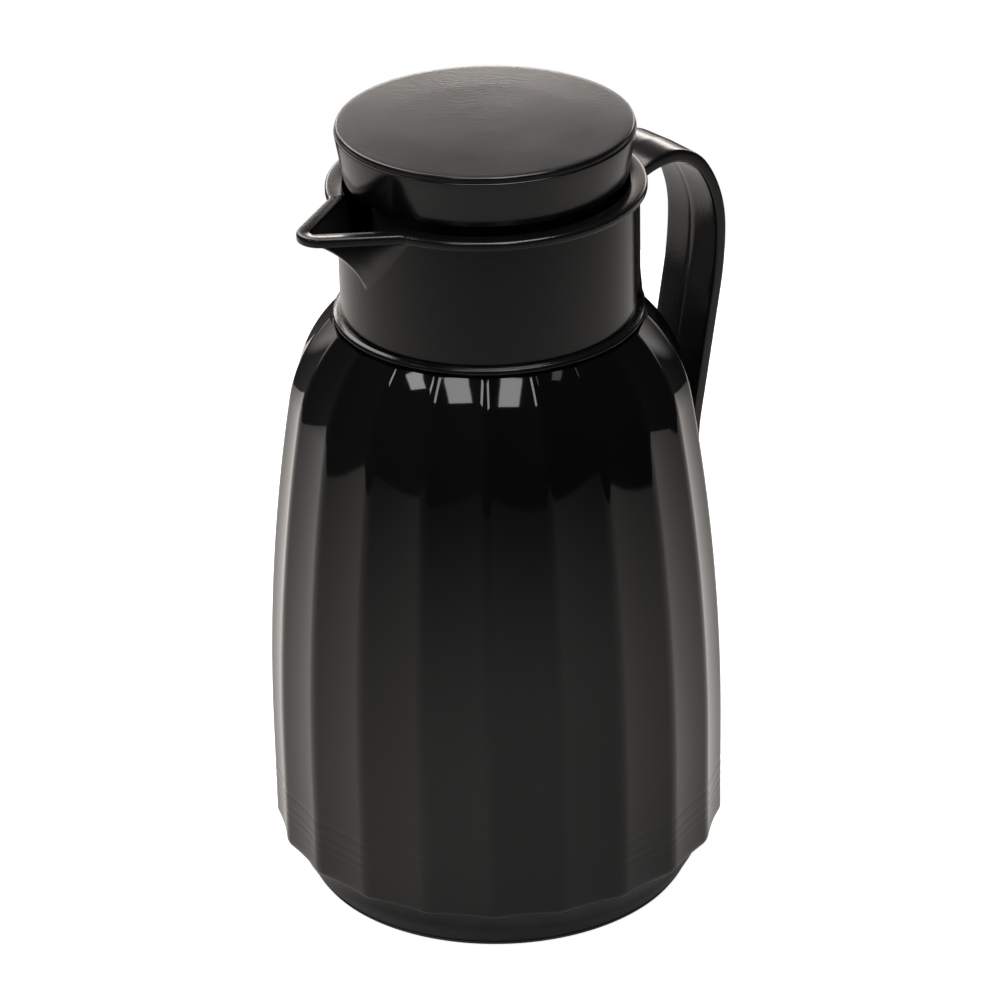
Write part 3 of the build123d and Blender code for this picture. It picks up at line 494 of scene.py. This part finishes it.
lid_disc = turned(
    "lid_cover",
    [
        (0, LID_RIM + 0.1),
        (45.5, LID_RIM + 0.1),
        (45.5, 270.9),
        (46.9, 270.9),
        (47.4, LID_RIM + 0.02),
        (49.0, LID_RIM + 0.02, 0.15),
        (49.0, DISC_EDGE, 0.8),
        (30.0, DISC_EDGE + 0.27, 400),
        (12.0, DISC_EDGE + 0.39, 200),
        (0, DISC_EDGE + 0.4),
    ],
    closed=False,
    step=2.0,
)
stopper = turned(
    "stopper_cup",
    [
        (0, 215.5),
        (24.9, 215.5, 0.2),
        (24.9, 216.6, 0.2),
        (24.0, 216.6),
        (24.0, 220.85, 0.3),
        (32.5, 220.85, 0.6),
        (37.7, 238.0, 2.0),
        (37.7, 258.0),
        (28.0, 258.0),
        (28.0, 255.0),
        (35.7, 255.0),
        (35.7, 238.0, 1.0),
        (30.5, 222.85, 0.5),
        (22.0, 222.85, 0.5),
        (22.0, 217.5, 0.5),
        (0, 217.5),
    ],
    closed=False,
)

# %% [markdown]
# ## The handle
# A broad flat strap leaves a curved saddle on the back of the collar, arches over and leans in to the
# shoulder of the barrel, where a pad fills the last gap to the shell. Its middle line is a chain of
# straight runs and arcs, each starting in the direction where the last one ended, as a moulder would
# draw it. The same section travels along that line, so the strap keeps its width, and both its
# faces fold very slightly along the middle, with a hairline seam on the inner one. A curve object with a
# bevel could do this, but the ends and the seam are easier to hold in one grid.

# %% strap
STRAP_START = np.array([48.2, 243.36])
STRAP_RUNS = (  # length or radius in mm, turn in degrees; a turn of 0 is a straight run
    (8.695, 0.0),
    (30.0, -22.0),
    (17.6, -55.0),
    (42.2, -35.0),
    (120.0, -10.5006),
    (46.0, 0.0),
    (60.0, 15.3006),
    (15.0, 0.0),
)

STRAP_HALF = 13.5
STRAP_THIN = 2.15  # half the thickness at the strap's edges
STRAP_ROUND = 1.0
SEAM_HALF = 0.2
LAST_RUN = len(STRAP_RUNS) - 2  # the arc that turns the strap down along the shell


def chain(start, heading, runs, spacing=1.6):
    """Points and headings along straight runs and arcs in the XZ plane.

    On an arc of radius q the centre lies q to the side of the heading, and the point at turn w is
    centre + q (sin(heading + w), -cos(heading + w)), with the sign of the turn.
    """
    points, headings, begins = [], [], [0]
    for size, turn in runs:
        turn = math.radians(turn)
        length = size * abs(turn) if turn else size
        t = np.linspace(0, 1, max(3, math.ceil(length / spacing)))[:, None]
        if turn:
            side = math.copysign(size, turn)
            centre = start + side * np.array([-math.sin(heading), math.cos(heading)])
            w = heading + turn * t
            line = centre + side * np.concatenate([np.sin(w), -np.cos(w)], 1)
        else:
            w = heading + 0 * t
            line = start + t * length * np.array([math.cos(heading), math.sin(heading)])
        points.append(line[:-1])
        headings.append(w[:-1, 0])
        begins.append(begins[-1] + len(t) - 1)
        start, heading = line[-1], float(w[-1, 0])
    points.append(start[None])
    headings.append(np.array([heading]))
    return np.concatenate(points), np.concatenate(headings), begins


path, heading, begins = chain(STRAP_START, math.radians(22.0), STRAP_RUNS)
section = rounded(
    [
        (-STRAP_HALF, -STRAP_THIN, STRAP_ROUND),
        (-SEAM_HALF, -2.495),
        (0, -2.45),
        (SEAM_HALF, -2.495),
        (STRAP_HALF, -STRAP_THIN, STRAP_ROUND),
        (STRAP_HALF, STRAP_THIN, STRAP_ROUND),
        (0, 2.5, 8.0),
        (-STRAP_HALF, STRAP_THIN, STRAP_ROUND),
    ],
    step=2.4,
)
out = np.stack([-np.sin(heading), np.cos(heading)], -1)
path = np.concatenate([path[:1], path, path[-1:]])
out = np.concatenate([out[:1], out, out[-1:]])
size = np.concatenate([[0.0], np.ones(len(path) - 2), [0.0]])
size[-2] = 0.9  # a small bevel round the strap's lower end
strap = lay_grid(
    "strap",
    np.stack(
        [
            path[:, :1] + size[:, None] * section[:, 1] * out[:, :1],
            size[:, None] * section[:, 0] * np.ones((len(path), 1)),
            path[:, 1:] + size[:, None] * section[:, 1] * out[:, 1:],
        ],
        -1,
    ),
    closed_profile=False,
)

# %% saddle and foot pad
SADDLE = math.radians(34.0)
saddle_line = rounded(
    [
        (COLLAR_RADIUS - 0.1, COLLAR_BOTTOM),
        (COLLAR_RADIUS + 2.9, COLLAR_BOTTOM, 0.2),
        (COLLAR_RADIUS + 1.7, COLLAR_BOTTOM + 1.9, 3.0),
        (COLLAR_RADIUS + 1.3, COLLAR_BOTTOM + 6.0, 6.0),
        (COLLAR_RADIUS + 1.3, 250.4, 0.4),
        (COLLAR_RADIUS - 0.1, 250.4),
    ],
    step=4.0,
)
inner_end = SADDLE - 0.006  # where the bevel at each end of the plate begins
saddle_turn = np.concatenate([[-SADDLE] * 2, np.linspace(-inner_end, inner_end, 41), [SADDLE] * 2])
saddle_size = np.concatenate([[0, 0.75], np.ones(41), [0.75, 0]])[:, None]
saddle_middle = np.array([COLLAR_RADIUS + 0.5, 230.0])
saddle_r = saddle_middle[0] + (saddle_line[:, 0] - saddle_middle[0]) * saddle_size
saddle_z = saddle_middle[1] + (saddle_line[:, 1] - saddle_middle[1]) * (1 - 0.02 * (1 - saddle_size))
saddle_z = np.where(saddle_size == 0, saddle_middle[1], saddle_z)
saddle = lay_grid(
    "saddle",
    np.stack(
        [saddle_r * np.cos(saddle_turn)[:, None], saddle_r * np.sin(saddle_turn)[:, None], saddle_z], -1
    ),
    closed_profile=False,
)
pad_from = begins[LAST_RUN] + 0.75 * (begins[LAST_RUN + 1] - begins[LAST_RUN])
pad_path = path[1 + int(pad_from) : -1]
pad_inner = math.cos(HALF_FLUTE) * ridge_radius(pad_path[:, 1])
pad_plan = rounded([(0, -12.5, 0.4), (1, -12.5), (1, 12.5), (0, 12.5, 0.4)], step=5.0)
pad_rows = np.concatenate([[0], np.arange(len(pad_path)), [len(pad_path) - 1]])
pad_size = np.concatenate([[0.0], np.ones(len(pad_path)), [0.0]])[:, None]
pad_x = pad_inner[pad_rows, None] + (pad_path[:, 0] - pad_inner)[pad_rows, None] * np.where(
    pad_size == 0, 0.5, np.clip(pad_plan[:, 0], 0, 1)
)
foot_pad = lay_grid(
    "foot_pad",
    np.stack([pad_x, pad_size * pad_plan[:, 1], pad_path[pad_rows, 1:] + 0 * pad_x], -1),
    closed_profile=False,
)

# %% [markdown]
# ## The hinge
# Two ears stand on the flange behind the lid, the lid's knuckle turns between them on a steel pin, and a
# square heel on the knuckle comes down on the flange to stop the open lid. All three are flat slabs with
# a slightly broken edge: an outline round the pin, carried across. The outline is a radius for each
# direction, the largest of the circle's and those of the straight-sided parts, so nothing needs cutting.

# %% ears and knuckle
PIN = np.array([50.5, 258.5])
KNUCKLE_RADIUS = 3.0
BROKEN_EDGE = 0.25
PIN_HOLE = 1.4
HOLE_DEPTH = 0.3


def straight_sided(corners, angle):
    """Radius of a convex outline round the origin: the smallest d / (n . u) of its sides facing u."""
    corners = np.array(corners, float)
    side = np.roll(corners, -1, axis=0) - corners
    normal = np.stack([side[:, 1], -side[:, 0]], -1) / np.linalg.norm(side, axis=1)[:, None]
    far = np.maximum((normal * corners).sum(1), 0)[:, None]
    facing = normal @ np.stack([np.cos(angle), np.sin(angle)])
    return np.where(facing > 1e-9, far / np.maximum(facing, 1e-9), 1e9).min(0)


def slab(name, corner_sets, y_from, y_to, hole=None):
    """Slab across the pin: outline by direction, broken edges, and a shallow hole at y_to."""
    x, y = np.concatenate([np.array(corners, float) for corners in corner_sets]).T
    apart = np.hypot(x, y) > 0.1
    even = np.linspace(-np.pi, np.pi, 96, endpoint=False)
    angle = np.unique(np.round(np.concatenate([even, np.arctan2(y[apart], x[apart])]), 5))
    reach = np.max([straight_sided(corners, angle) for corners in corner_sets], axis=0)
    reach = np.maximum(KNUCKLE_RADIUS, reach)
    way = math.copysign(1, y_to - y_from)
    rows = [  # share of the outline's radius, added radius, place across
        (0, 0, y_from),
        (1, -BROKEN_EDGE, y_from),
        (1, 0, y_from + BROKEN_EDGE * way),
        (1, 0, y_to - BROKEN_EDGE * way),
        (1, -BROKEN_EDGE, y_to),
    ]
    if hole:
        rows += [(0, hole, y_to), (0, hole, y_to - HOLE_DEPTH * way)]
    rows += [(0, 0, rows[-1][2])]
    radius = np.array([share * reach + extra for share, extra, _ in rows])
    across = np.array([y for _, _, y in rows])[:, None]
    points = np.stack(
        [PIN[0] + radius * np.cos(angle), across + 0 * radius, PIN[1] + radius * np.sin(angle)], -1
    )
    return lay_grid(name, points, closed_profile=False, crease=30)


ear_sides = [(-3.0, 0), (-2.8, -5.4), (1.4, -5.4), (3.0, 0)]
ears = [
    slab(name, [ear_sides], 5.3 * side, 9.0 * side, hole=PIN_HOLE)
    for name, side in (("ear_a", 1), ("ear_b", -1))
]
heel_cos, heel_sin = math.cos(math.radians(10)), math.sin(math.radians(10))
heel_spin = np.array([[heel_cos, heel_sin], [-heel_sin, heel_cos]])
heel_sides = np.array([(0, -0.8), (3.25, -0.8), (3.25, 3.0), (0, 3.0)]) @ heel_spin
arm_sides = [(-4.3, -0.5), (-1.5, -2.55), (0, 0), (0, 3.0), (-3.7, 3.0)]
knuckle = slab("knuckle", [arm_sides, heel_sides], -5.0, 5.0)

# %% [markdown]
# ## The camera
# The camera stands in front of the jug and above it, with a long lens, so that the far rim of the lid is
# hardly smaller than the near one. Its frame is built from three directions: forward from a pitch and a
# yaw, then right and up turned together by a small roll.

# %% camera
AROUND = math.radians(-36.7)
PITCH, YAW, ROLL = math.radians(26.914), math.radians(0.102), math.radians(-1.163)
forward = Vector((math.sin(YAW) * math.cos(PITCH), math.cos(YAW) * math.cos(PITCH), -math.sin(PITCH)))
right = forward.cross(Vector((0, 0, 1))).normalized()
up = right.cross(forward)
rolled_right = math.cos(ROLL) * right + math.sin(ROLL) * up
rolled_up = math.cos(ROLL) * up - math.sin(ROLL) * right
pose = Matrix((rolled_right, rolled_up, -forward)).transposed().to_4x4()
pose.translation = Vector((0, -1.3567, 0.8255))
lens = bpy.data.cameras.new("camera")
lens.sensor_width = 36.0
lens.lens = 161.1
lens.clip_start = 0.05
camera = bpy.data.objects.new("camera", lens)
camera.matrix_world = Matrix.Rotation(AROUND, 4, "Z") @ pose
bpy.context.scene.collection.objects.link(camera)
bpy.context.scene.camera = camera
print("camera at", [round(v, 4) for v in camera.matrix_world.translation])
bpy.context.scene.view_settings.view_transform = "Standard"

# %% [markdown]
# ## Materials
# The jacket is a hard gloss: nearly black, with a reflection as clean as lacquer. The collar, lid, handle
# and base are the same plastic from a finely sparked mould, so they reflect softly. Colour and roughness
# drift a little over each piece, and a very fine bump breaks the highlight, because no moulding is even.

# %% material helper


def finish(name, colour, rough, drift=0.15, grain=600.0, grain_depth=0.02, rough_drift=0.04, **sockets):
    """Principled finish: slow noise mixes two close tones and two roughnesses, fine noise is the bump."""
    material = bpy.data.materials.new(name)
    material.use_nodes = True
    nodes, links = material.node_tree.nodes, material.node_tree.links
    shader = nodes["Principled BSDF"]
    place = nodes.new("ShaderNodeTexCoord")
    slow = nodes.new("ShaderNodeTexNoise")
    slow.inputs["Scale"].default_value = 38.0
    slow.inputs["Detail"].default_value = 3.0
    links.new(place.outputs["Object"], slow.inputs["Vector"])
    tone = nodes.new("ShaderNodeMix")
    tone.data_type = "RGBA"
    tone.inputs["A"].default_value = (*[c * (1 - drift) for c in colour], 1)
    tone.inputs["B"].default_value = (*[min(1, c * (1 + drift)) for c in colour], 1)
    links.new(slow.outputs["Fac"], tone.inputs["Factor"])
    links.new(tone.outputs["Result"], shader.inputs["Base Color"])
    gloss = nodes.new("ShaderNodeMapRange")
    gloss.inputs["To Min"].default_value = max(0.0, rough - rough_drift)
    gloss.inputs["To Max"].default_value = rough + rough_drift
    links.new(slow.outputs["Fac"], gloss.inputs["Value"])
    links.new(gloss.outputs["Result"], shader.inputs["Roughness"])
    fine = nodes.new("ShaderNodeTexNoise")
    fine.inputs["Scale"].default_value = grain
    fine.inputs["Detail"].default_value = 2.0
    links.new(place.outputs["Object"], fine.inputs["Vector"])
    bump = nodes.new("ShaderNodeBump")
    bump.inputs["Strength"].default_value = grain_depth
    bump.inputs["Distance"].default_value = 0.001
    links.new(fine.outputs["Fac"], bump.inputs["Height"])
    links.new(bump.outputs["Normal"], shader.inputs["Normal"])
    for socket, value in sockets.items():
        shader.inputs[socket.replace("_", " ")].default_value = value
    return material


# %% make the finishes
for solid in frame["nodes"].values():
    solid.data.materials.clear()
for plain in list(bpy.data.materials):
    bpy.data.materials.remove(plain)
gloss_shell = finish(
    "gloss_shell",
    (0.0022, 0.0021, 0.0021),
    0.045,
    grain_depth=0.0,
    rough_drift=0.015,
    Specular_IOR_Level=0.375,
)
satin = {"grain": 900, "Specular_IOR_Level": 0.42}
satin_plastic = finish("satin_plastic", (0.0042, 0.0041, 0.0041), 0.18, grain_depth=0.03, **satin)
lid_plastic = finish("lid_plastic", (0.0036, 0.0035, 0.0035), 0.2, grain_depth=0.04, **satin)
# Painted light: the stopper gets a lighter grey than the other plastics, standing in for the bright
# reflection it shows in its shade under the lid.
stopper_painted_light = finish("stopper_painted_light", (0.03, 0.03, 0.032), 0.35, grain=900, grain_depth=0.04)
silvered_glass = finish("silvered_glass", (0.85, 0.85, 0.86), 0.06, drift=0.03, grain_depth=0.0, Metallic=1.0)
white_felt = finish("white_felt", (0.8, 0.79, 0.74), 0.9, grain=1500, grain_depth=0.6)
soft_rubber = finish("soft_rubber", (0.05, 0.05, 0.05), 0.6, grain_depth=0.2)
clear_seal = finish("clear_seal", (0.7, 0.73, 0.76), 0.35, grain_depth=0.02)
white_foam = finish("white_foam", (0.85, 0.85, 0.83), 0.85, grain=700, grain_depth=0.5)
screw_steel = finish("screw_steel", (0.55, 0.55, 0.54), 0.3, grain_depth=0.05, Metallic=1.0)

# %% dress the solids and place the pieces
FINISHES = {
    m.name: m
    for m in (
        gloss_shell,
        satin_plastic,
        lid_plastic,
        silvered_glass,
        white_felt,
        soft_rubber,
        clear_seal,
        white_foam,
        screw_steel,
    )
}
slots = {part["node"]: part["material_slot"] for part in frame["record"]["subparts"]}
for node, solid in frame["nodes"].items():
    solid.data.materials.append(FINISHES[slots[node]])
PIECES = (
    (outer_shell, "jug", "outer_shell"),
    (collar, "jug", "spout_collar"),
    (base, "jug", "base_cap"),
    (neck_ring, "jug", "neck_ring"),
    (lid_skirt, "lid", "lid_skirt"),
    (lid_disc, "lid", "lid_top_disc"),
    (stopper, "lid", "stopper_plug"),
    (strap, "jug", "handle"),
    (saddle, "jug", "handle"),
    (foot_pad, "jug", "handle"),
    (ears[0], "jug", "spout_collar"),
    (ears[1], "jug", "spout_collar"),
    (knuckle, "lid", "lid_skirt"),
)
for piece, body, node in PIECES:
    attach(piece, body)
    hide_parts(node)
    piece.data.materials.append(stopper_painted_light if piece is stopper else FINISHES[slots[node]])

# %% [markdown]
# ## Table, room and windows
# A gloss black jacket shows nothing but its surroundings, so these are laid out as in a small daylight
# studio: the jug stands on a pale table top in front of a white backdrop, the room on the camera's side
# is dim, and a few windows high up on that side leave the small bright patches on the shoulder. To the
# camera the table and the backdrop are plain white. Every place below is in the camera's own left-right
# frame: x to the right, y away from the camera.

# %% node helpers


def maths(tree, operation, a, b=None, c=None):
    """Math node; each argument is a socket or a number."""
    node = tree.nodes.new("ShaderNodeMath")
    node.operation = operation
    for slot, value in zip(node.inputs, (a, b, c)):
        if hasattr(value, "is_output"):
            tree.links.new(value, slot)
        elif value is not None:
            slot.default_value = value
    return node.outputs[0]


def fade(tree, value, start, end, low=0.0, high=1.0):
    """Smooth step from low at start to high at end."""
    node = tree.nodes.new("ShaderNodeMapRange")
    node.interpolation_type = "SMOOTHSTEP"
    for key, setting in (("From Min", start), ("From Max", end), ("To Min", low), ("To Max", high)):
        node.inputs[key].default_value = setting
    tree.links.new(value, node.inputs["Value"])
    return node.outputs["Result"]


def mixed(tree, factor, first, second):
    """Mix of two colours by a socket."""
    node = tree.nodes.new("ShaderNodeMix")
    node.data_type = "RGBA"
    node.inputs["A"].default_value = (*first, 1)
    node.inputs["B"].default_value = (*second, 1)
    tree.links.new(factor, node.inputs["Factor"])
    return node.outputs["Result"]


def studio_axes(tree, coordinate):
    """Texture coordinate turned into the studio's axes: right, away, up."""
    place = tree.nodes.new("ShaderNodeTexCoord")
    turned_place = tree.nodes.new("ShaderNodeVectorRotate")
    turned_place.rotation_type = "Z_AXIS"
    turned_place.inputs["Angle"].default_value = -AROUND
    tree.links.new(place.outputs[coordinate], turned_place.inputs["Vector"])
    split = tree.nodes.new("ShaderNodeSeparateXYZ")
    tree.links.new(turned_place.outputs[0], split.inputs[0])
    return split.outputs


# %% table
TABLE_LEFT, TABLE_RIGHT, TABLE_NEAR, TABLE_FAR = -0.75, 0.7, -1.0, 0.52
TABLE_TOP = -0.0004
table_mesh = bpy.data.meshes.new("table")
spin = Matrix.Rotation(AROUND, 3, "Z")
corners = [
    spin @ Vector((x, y, TABLE_TOP))
    for x, y in (
        (TABLE_LEFT, TABLE_NEAR),
        (TABLE_RIGHT, TABLE_NEAR),
        (TABLE_RIGHT, TABLE_FAR),
        (TABLE_LEFT, TABLE_FAR),
    )
]
table_mesh.from_pydata([tuple(c) for c in corners], [], [(0, 1, 2, 3)])
table = bpy.data.objects.new("table", table_mesh)
bpy.context.scene.collection.objects.link(table)
paper = bpy.data.materials.new("paper")
paper.use_nodes = True
tree = paper.node_tree
shader = tree.nodes["Principled BSDF"]
_, away, _ = studio_axes(tree, "Object")
# Painted shade: the table's colour darkens towards its near edge, standing in for the light falling off away
# from the lamps behind the jug. To the camera it still shows white.
near_tone, far_tone = (0.215, 0.218, 0.222), (0.8, 0.785, 0.765)
painted_shade = mixed(tree, fade(tree, away, TABLE_NEAR, 0.0), near_tone, far_tone)
tree.links.new(painted_shade, shader.inputs["Base Color"])
shader.inputs["Roughness"].default_value = 0.95
shader.inputs["Specular IOR Level"].default_value = 0.0
ray = tree.nodes.new("ShaderNodeLightPath")
lift = maths(tree, "MULTIPLY", ray.outputs["Is Camera Ray"], 0.93)
glow = maths(tree, "MULTIPLY_ADD", ray.outputs["Is Glossy Ray"], 0.03, lift)
shader.inputs["Emission Color"].default_value = (1, 1, 1, 1)
tree.links.new(glow, shader.inputs["Emission Strength"])
table_mesh.materials.append(paper)
print("table", TABLE_RIGHT - TABLE_LEFT, "m wide,", TABLE_FAR - TABLE_NEAR, "m deep")

# %% room and backdrop
world = bpy.data.worlds.new("studio")
bpy.context.scene.world = world
world.use_nodes = True
tree = world.node_tree
aside, away, height = studio_axes(tree, "Generated")
flat = maths(tree, "MULTIPLY_ADD", height, maths(tree, "MULTIPLY", height, -1.0), 1.0)
level = maths(tree, "SQRT", maths(tree, "MAXIMUM", flat, 1e-6))
facing_back = maths(tree, "DIVIDE", away, level)
band = maths(tree, "MULTIPLY", fade(tree, height, 0.47, 0.26), fade(tree, height, -0.1, 0.04))
backdrop = maths(tree, "MULTIPLY", fade(tree, facing_back, 0.6, 0.8), band)
room = fade(tree, maths(tree, "DIVIDE", aside, level), -0.8, 0.8, 0.085, 0.035)
seen = maths(tree, "MAXIMUM", room, backdrop)
ray = tree.nodes.new("ShaderNodeLightPath")
strength = maths(tree, "MAXIMUM", ray.outputs["Is Camera Ray"], seen)
background = tree.nodes["Background"]
tree.links.new(strength, background.inputs["Strength"])
tint = mixed(tree, ray.outputs["Is Camera Ray"], (1, 0.965, 0.94), (1, 1, 1))
tree.links.new(tint, background.inputs["Color"])
print("world nodes:", len(tree.nodes))

# %% lamps and windows


def lamp(name, place, aim, size, radiance, colour=(1, 1, 1)):
    """Soft rectangle at a place, turned to face a point. Its power is pi * area * radiance."""
    light = bpy.data.lights.new(name, "AREA")
    light.shape = "RECTANGLE"
    light.size, light.size_y = size
    light.energy = math.pi * size[0] * size[1] * radiance
    light.color = colour
    holder = bpy.data.objects.new(name, light)
    start, target = spin @ Vector(place), spin @ Vector(aim)
    holder.location = start
    holder.rotation_euler = (target - start).to_track_quat("-Z", "Y").to_euler()
    holder.visible_camera = False
    bpy.context.scene.collection.objects.link(holder)
    return holder


def window(name, sides, heights, radiance, distance=2.5):
    """Window seen from the jug between two azimuths and two elevations, in degrees."""
    azimuth, elevation = math.radians(sum(sides) / 2), math.radians(sum(heights) / 2)
    flat = distance * math.cos(elevation)
    place = (flat * math.sin(azimuth), -flat * math.cos(azimuth), distance * math.sin(elevation) + 0.2)
    wide = flat * math.radians(sides[1] - sides[0])
    tall = distance * math.radians(heights[1] - heights[0])
    return lamp(name, place, (0, 0, 0.2), (wide, tall), radiance)


lamp("soft_lamp", (-0.3, 0.42, 0.74), (-0.05, -0.1, 0.0), (0.5, 0.5), 5.0, (1.0, 0.97, 0.94))
lamp("overhead", (0.06, -0.1, 0.62), (0.06, -0.1, 0.0), (0.25, 0.25), 7.5)
lamp("low_strip", (0.0, 0.5, 0.368), (0, 0, 0.27), (0.8, 0.09), 5.5, (1.0, 0.92, 0.85))
window("window_left", (-71, -61), (39, 48), 8.0)
window("window_middle", (-32, -17), (41, 57), 7.0)
window("window_right", (10, 23), (39, 57), 7.0)
window("window_far", (55, 61), (46, 52), 1.5)
